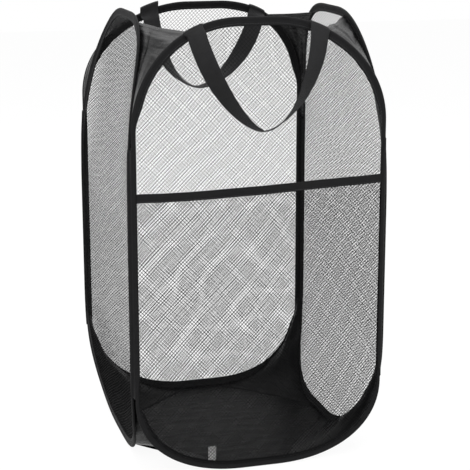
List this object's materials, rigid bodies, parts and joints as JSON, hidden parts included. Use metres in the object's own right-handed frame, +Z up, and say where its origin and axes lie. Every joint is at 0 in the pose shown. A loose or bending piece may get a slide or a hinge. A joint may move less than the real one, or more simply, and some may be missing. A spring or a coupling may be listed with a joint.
{
  "type": "pop up laundry hamper",
  "caption": "Square collapsible laundry hamper of black mesh held open by wire loops in fabric bindings, with corner gussets, a front pocket and webbing handles.",
  "frame": {"origin": "on the ground, in the middle of the four sides, on the underside of the floor", "axes": "+Z up; -Y is the front, with the pocket; +X to the right of somebody who faces the front"},
  "size_m": [0.356, 0.3827, 0.6112],
  "materials": {
    "mesh_cloth": "open diamond mesh",
    "binding_tape": "matt woven tape",
    "nylon_cloth": "smooth, slightly glossy",
    "webbing": "woven webbing",
    "spring_wire": "drawn",
    "label_cloth": "smooth, blank"
  },
  "bodies": {
    "front_panel": {"front_wire": "spring_wire", "front_wire_sleeve": "spring_wire", "front_binding": "binding_tape", "front_mesh": "mesh_cloth", "pocket_mesh": "mesh_cloth", "pocket_binding": "binding_tape", "care_label": "label_cloth", "floor": "nylon_cloth", "top_gusset_front_left": "nylon_cloth", "bottom_gusset_front_left": "nylon_cloth", "top_gusset_front_right": "nylon_cloth", "bottom_gusset_front_right": "nylon_cloth", "front_handle_left_end": "webbing", "front_handle_right_end": "webbing"},
    "left_panel": {"left_wire": "spring_wire", "left_wire_sleeve": "spring_wire", "left_binding": "binding_tape", "left_mesh": "mesh_cloth", "top_gusset_back_left": "nylon_cloth", "bottom_gusset_back_left": "nylon_cloth"},
    "right_panel": {"right_wire": "spring_wire", "right_wire_sleeve": "spring_wire", "right_binding": "binding_tape", "right_mesh": "mesh_cloth"},
    "back_panel": {"back_wire": "spring_wire", "back_wire_sleeve": "spring_wire", "back_binding": "binding_tape", "back_mesh": "mesh_cloth", "back_handle_left_end": "webbing", "back_handle_right_end": "webbing"},
    "back_right_corner": {"top_gusset_back_right": "nylon_cloth", "bottom_gusset_back_right": "nylon_cloth"},
    "front_handle": {"front_handle": "webbing"},
    "back_handle": {"back_handle": "webbing"}
  },
  "joints": [
    {"name": "fold_left", "type": "hinge", "parent": "front_panel", "child": "left_panel", "pos_m": [-0.173, -0.173, 0.305], "axis": [0, 0, -1], "range_deg": [0, 40], "stiffness_Nm_per_rad": 1.2, "deforming": ["floor", "top_gusset_front_left", "bottom_gusset_front_left"]},
    {"name": "fold_right", "type": "hinge", "parent": "front_panel", "child": "right_panel", "pos_m": [0.173, -0.173, 0.305], "axis": [0, 0, -1], "range_deg": [0, 40], "deforming": ["top_gusset_front_right", "bottom_gusset_front_right"]},
    {"name": "fold_back", "type": "hinge", "parent": "left_panel", "child": "back_panel", "pos_m": [-0.173, 0.173, 0.305], "axis": [0, 0, 1], "range_deg": [0, 40], "deforming": ["top_gusset_back_left", "bottom_gusset_back_left"]},
    {"name": "fold_corner", "type": "hinge", "parent": "right_panel", "child": "back_right_corner", "pos_m": [0.173, 0.173, 0.305], "axis": [0, 0, 1], "range_deg": [0, 40], "deforming": ["top_gusset_back_right", "bottom_gusset_back_right"]},
    {"name": "front_handle_swing", "type": "hinge", "parent": "front_panel", "child": "front_handle", "pos_m": [0, -0.15266, 0.60936], "axis": [-1, 0, 0], "range_deg": [0, 240]},
    {"name": "back_handle_swing", "type": "hinge", "parent": "back_panel", "child": "back_handle", "pos_m": [0, 0.1225, 0.60936], "axis": [-1, 0, 0], "range_deg": [0, 250]}
  ],
  "couplings": [
    {"joint": "fold_right", "follows": "fold_left", "ratio": 1},
    {"joint": "fold_back", "follows": "fold_left", "ratio": 1},
    {"joint": "fold_corner", "follows": "fold_left", "ratio": 1}
  ]
}
